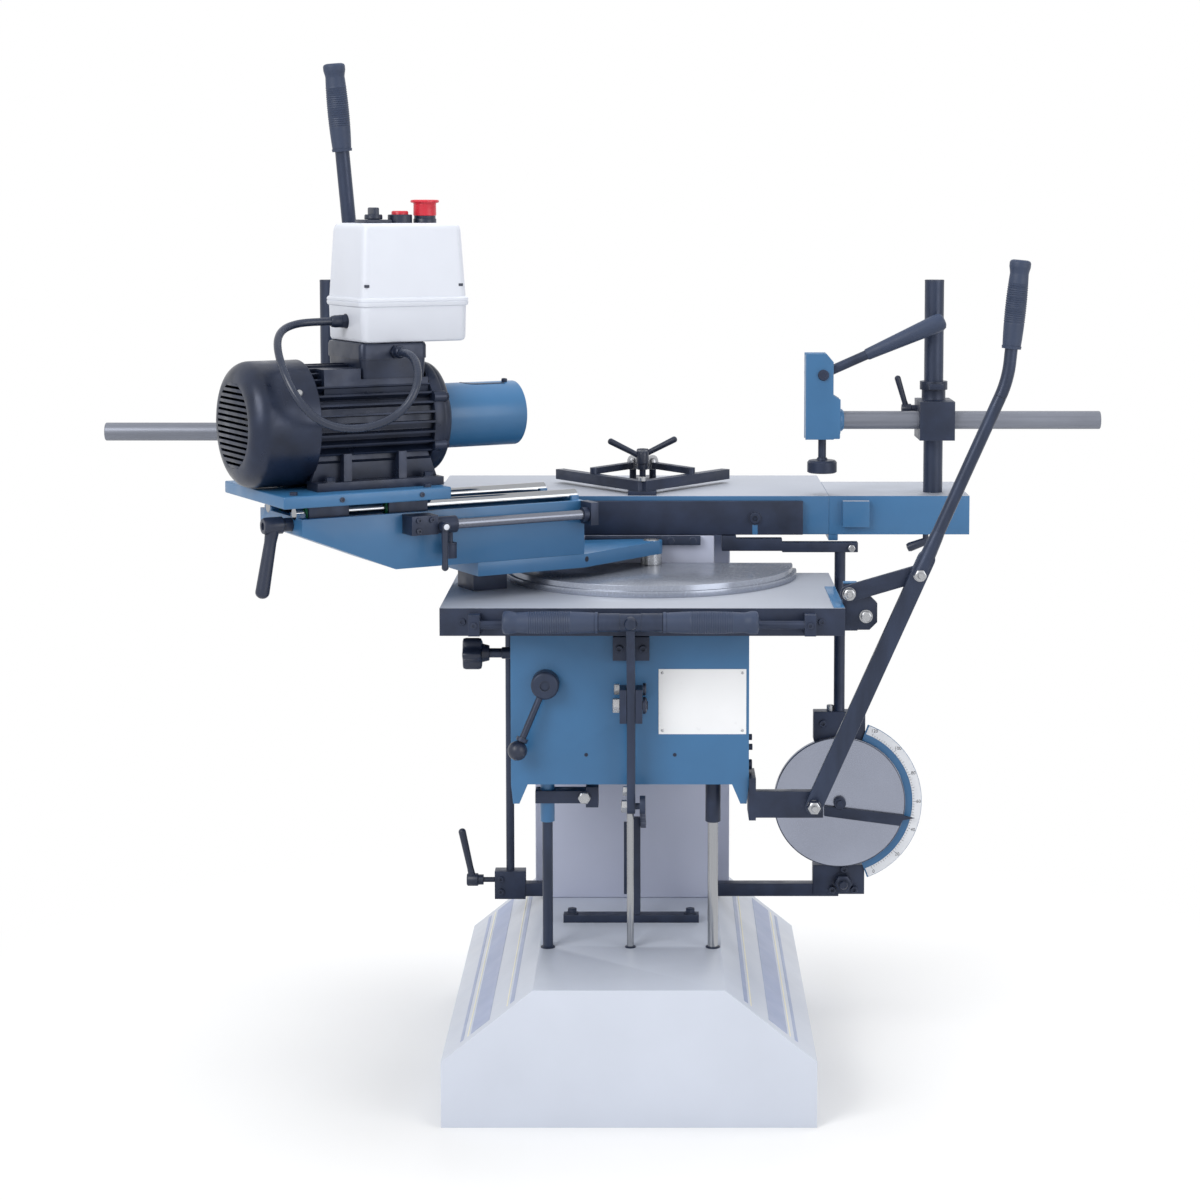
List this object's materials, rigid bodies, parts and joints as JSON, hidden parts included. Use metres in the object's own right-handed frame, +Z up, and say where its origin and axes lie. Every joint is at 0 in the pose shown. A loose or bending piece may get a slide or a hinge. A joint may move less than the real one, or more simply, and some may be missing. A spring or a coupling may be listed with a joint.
{
  "type": "slot mortiser",
  "caption": "Floor-standing slot mortiser: swivelling drill head on a lever-fed cross slide and rising knee, with a fixed work table, V fence and bar clamps.",
  "frame": {"origin": "centre of the plinth's underside, on the floor", "axes": "+X to the operator's right, +Y away from the operator, +Z up"},
  "size_m": [1.54, 0.7506, 1.477],
  "materials": {
    "grey_paint": "pale grey-white semi-gloss paint",
    "blue_paint": "mid blue semi-gloss paint",
    "ground_iron": "ground cast iron with fine lay marks",
    "black_steel": "blued and black-painted steel",
    "bright_steel": "turned and ground steel",
    "chrome": "hard chromed rod",
    "clamp_steel": "drawn steel bar with a painted head",
    "motor_black": "black semi-matt motor paint",
    "black_plastic": "moulded black plastic",
    "white_plastic": "off-white moulded plastic",
    "red_plastic": "red moulded plastic",
    "cable_rubber": "black rubber sheath"
  },
  "bodies": {
    "frame": {"base": "grey_paint", "column": "grey_paint", "table_top": "ground_iron", "table_front_plate": "black_steel", "table_wings": "blue_paint", "clamp_posts": "black_steel", "stop_upright": "black_steel", "guide_rod_left": "black_steel", "chrome_rods": "chrome", "depth_stop": "black_steel", "dial_frame": "black_steel", "dial_disc": "bright_steel", "fence": "black_steel", "frame_bolts": "black_steel"},
    "knee": {"knee": "blue_paint", "strut_cylinder": "bright_steel", "knee_brackets": "black_steel", "fulcrum_arm": "black_steel"},
    "plate": {"plate": "ground_iron", "plate_fittings": "black_steel", "segment_disc": "ground_iron"},
    "head": {"swivel_arm": "blue_paint", "slide_housing": "blue_paint", "slide_rails": "bright_steel", "feed_stop": "black_steel"},
    "carriage": {"carriage_plate": "blue_paint", "slide_bearings": "bright_steel", "motor_body": "motor_black", "fan_cowl": "motor_black", "chuck_guard": "blue_paint", "terminal_box": "motor_black", "control_box": "white_plastic", "motor_cable": "cable_rubber"},
    "depth_stop_lever": {"depth_stop_lever": "black_plastic"},
    "fence_handle_left": {"fence_handle_left": "black_plastic"},
    "fence_handle_right": {"fence_handle_right": "black_plastic"},
    "dial_pointer": {"dial_pointer": "black_steel"},
    "knee_crank": {"knee_crank": "black_plastic"},
    "knee_knob": {"knee_knob": "black_plastic"},
    "lift_lever": {"lift_lever": "black_steel"},
    "lift_link": {"lift_link": "black_steel"},
    "traverse_lever": {"traverse_lever": "black_steel"},
    "traverse_link": {"traverse_link": "black_steel"},
    "feed_stop_lever": {"feed_stop_lever": "black_plastic"},
    "carriage_lock": {"carriage_lock": "black_plastic"},
    "feed_lever": {"feed_lever": "black_steel"},
    "spindle": {"spindle": "bright_steel"},
    "selector_switch": {"selector_switch": "black_plastic"},
    "start_button": {"start_button": "black_plastic"},
    "stop_button": {"stop_button": "red_plastic"},
    "clamp_block_left": {"clamp_block_left": "black_steel"},
    "clamp_arm_left": {"clamp_arm_left": "clamp_steel"},
    "clamp_lever_left": {"clamp_lever_left": "black_plastic"},
    "clamp_foot_left": {"clamp_foot_left": "bright_steel"},
    "block_lever_left": {"block_lever_left": "black_plastic"},
    "clamp_block_right": {"clamp_block_right": "black_steel"},
    "clamp_arm_right": {"clamp_arm_right": "clamp_steel"},
    "clamp_lever_right": {"clamp_lever_right": "black_plastic"},
    "clamp_foot_right": {"clamp_foot_right": "bright_steel"},
    "block_lever_right": {"block_lever_right": "black_plastic"}
  },
  "joints": [
    {"name": "depth_stop_lever_turn", "type": "hinge", "parent": "frame", "child": "depth_stop_lever", "pos_m": [-0.214, 0.142, 0.22], "axis": [1, 0, 0], "range_deg": [-60, 60]},
    {"name": "fence_handle_left_turn", "type": "hinge", "parent": "frame", "child": "fence_handle_left", "pos_m": [0.016, 0.283, 0.86], "axis": [0, 0, 1], "range_deg": [-40, 80]},
    {"name": "fence_handle_right_turn", "type": "hinge", "parent": "frame", "child": "fence_handle_right", "pos_m": [0.016, 0.316, 0.86], "axis": [0, 0, 1], "range_deg": [-40, 80]},
    {"name": "dial_pointer_turn", "type": "hinge", "parent": "frame", "child": "dial_pointer", "pos_m": [0.322, 0.125, 0.348], "axis": [0, 1, 0], "range_deg": [-50, 50]},
    {"name": "knee_lift", "type": "slide", "parent": "frame", "child": "knee", "axis": [0, 0, 1], "range_m": [-0.1, 0.002]},
    {"name": "lift_link_swing", "type": "hinge", "parent": "frame", "child": "lift_link", "pos_m": [0.018, 0.008, 0.345], "axis": [1, 0, 0], "range_deg": [-4, 28]},
    {"name": "knee_crank_turn", "type": "hinge", "parent": "knee", "child": "knee_crank", "pos_m": [-0.12, -0.182, 0.593], "axis": [0, 1, 0], "range_deg": [-60, 80]},
    {"name": "knee_knob_turn", "type": "hinge", "parent": "knee", "child": "knee_knob", "pos_m": [-0.2, -0.12, 0.627], "axis": [1, 0, 0], "continuous": true},
    {"name": "lift_lever_swing", "type": "hinge", "parent": "knee", "child": "lift_lever", "pos_m": [0.002, -0.196, 0.566], "axis": [1, 0, 0], "range_deg": [-5, 1]},
    {"name": "plate_traverse", "type": "slide", "parent": "knee", "child": "plate", "axis": [1, 0, 0], "range_m": [-0.075, 0.075]},
    {"name": "traverse_lever_swing", "type": "hinge", "parent": "knee", "child": "traverse_lever", "pos_m": [0.262, -0.182, 0.418], "axis": [0, 1, 0], "range_deg": [-14, 14]},
    {"name": "traverse_link_swing", "type": "hinge", "parent": "plate", "child": "traverse_link", "pos_m": [0.311, -0.172, 0.722], "axis": [0, 1, 0], "range_deg": [-20, 20]},
    {"name": "head_swivel", "type": "hinge", "parent": "plate", "child": "head", "pos_m": [0.03, 0.1, 0.72], "axis": [0, 0, 1], "range_deg": [0, 90]},
    {"name": "carriage_feed", "type": "slide", "parent": "head", "child": "carriage", "axis": [0.866, 0.5, 0], "range_m": [0, 0.11]},
    {"name": "feed_lever_swing", "type": "hinge", "parent": "head", "child": "feed_lever", "pos_m": [-0.37521, 0.01385, 0.775], "axis": [-0.5, 0.866, 0], "range_deg": [0, 52]},
    {"name": "feed_stop_lever_turn", "type": "hinge", "parent": "head", "child": "feed_stop_lever", "pos_m": [-0.26001, -0.20369, 0.822], "axis": [-0.5, 0.866, 0], "range_deg": [-60, 60]},
    {"name": "carriage_lock_turn", "type": "hinge", "parent": "head", "child": "carriage_lock", "pos_m": [-0.48694, -0.24464, 0.829], "axis": [0.866, 0.5, 0], "range_deg": [-60, 60]},
    {"name": "spindle_turn", "type": "hinge", "parent": "carriage", "child": "spindle", "pos_m": [-0.31641, -0.1, 0.967], "axis": [0.866, 0.5, 0], "continuous": true},
    {"name": "selector_turn", "type": "hinge", "parent": "carriage", "child": "selector_switch", "pos_m": [-0.36404, -0.1275, 1.25], "axis": [0, 0, 1], "range_deg": [-45, 45]},
    {"name": "start_button_press", "type": "slide", "parent": "carriage", "child": "start_button", "axis": [0, 0, -1], "range_m": [0, 0.004], "stiffness_N_per_m": 600},
    {"name": "stop_button_press", "type": "slide", "parent": "carriage", "child": "stop_button", "axis": [0, 0, -1], "range_m": [0, 0.004], "stiffness_N_per_m": 600},
    {"name": "clamp_height_left", "type": "slide", "parent": "frame", "child": "clamp_block_left", "axis": [0, 0, 1], "range_m": [-0.012, 0.158]},
    {"name": "clamp_reach_left", "type": "slide", "parent": "clamp_block_left", "child": "clamp_arm_left", "axis": [1, 0, 0], "range_m": [-0.025, 0.15]},
    {"name": "block_lever_left_turn", "type": "hinge", "parent": "clamp_block_left", "child": "block_lever_left", "pos_m": [-0.43, 0.205, 0.935], "axis": [1, 0, 0], "range_deg": [-60, 0]},
    {"name": "clamp_lever_left_turn", "type": "hinge", "parent": "clamp_arm_left", "child": "clamp_lever_left", "pos_m": [-0.385, 0.165, 0.992], "axis": [0, -1, 0], "range_deg": [-40, 0]},
    {"name": "clamp_foot_left_press", "type": "slide", "parent": "clamp_arm_left", "child": "clamp_foot_left", "axis": [0, 0, 1], "range_m": [-0.002, 0.029]},
    {"name": "clamp_height_right", "type": "slide", "parent": "frame", "child": "clamp_block_right", "axis": [0, 0, 1], "range_m": [-0.03, 0.14]},
    {"name": "clamp_reach_right", "type": "slide", "parent": "clamp_block_right", "child": "clamp_arm_right", "axis": [1, 0, 0], "range_m": [-0.15, 0.06]},
    {"name": "block_lever_right_turn", "type": "hinge", "parent": "clamp_block_right", "child": "block_lever_right", "pos_m": [0.43, 0.205, 0.953], "axis": [1, 0, 0], "range_deg": [-60, 0]},
    {"name": "clamp_lever_right_turn", "type": "hinge", "parent": "clamp_arm_right", "child": "clamp_lever_right", "pos_m": [0.295, 0.165, 1.01], "axis": [0, 1, 0], "range_deg": [-30, 20]},
    {"name": "clamp_foot_right_press", "type": "slide", "parent": "clamp_arm_right", "child": "clamp_foot_right", "axis": [0, 0, 1], "range_m": [-0.016, 0.022]}
  ],
  "couplings": [
    {"joint": "lift_link_swing", "follows": "knee_lift", "rad_per_m": -4.66},
    {"joint": "lift_lever_swing", "follows": "knee_lift", "rad_per_m": 0.768},
    {"joint": "traverse_lever_swing", "follows": "plate_traverse", "rad_per_m": 3},
    {"joint": "traverse_link_swing", "follows": "plate_traverse", "rad_per_m": 4.27},
    {"joint": "feed_lever_swing", "follows": "carriage_feed", "rad_per_m": 8.17},
    {"joint": "clamp_foot_left_press", "follows": "clamp_lever_left_turn", "m_per_rad": -0.04},
    {"joint": "clamp_foot_right_press", "follows": "clamp_lever_right_turn", "m_per_rad": -0.04}
  ]
}
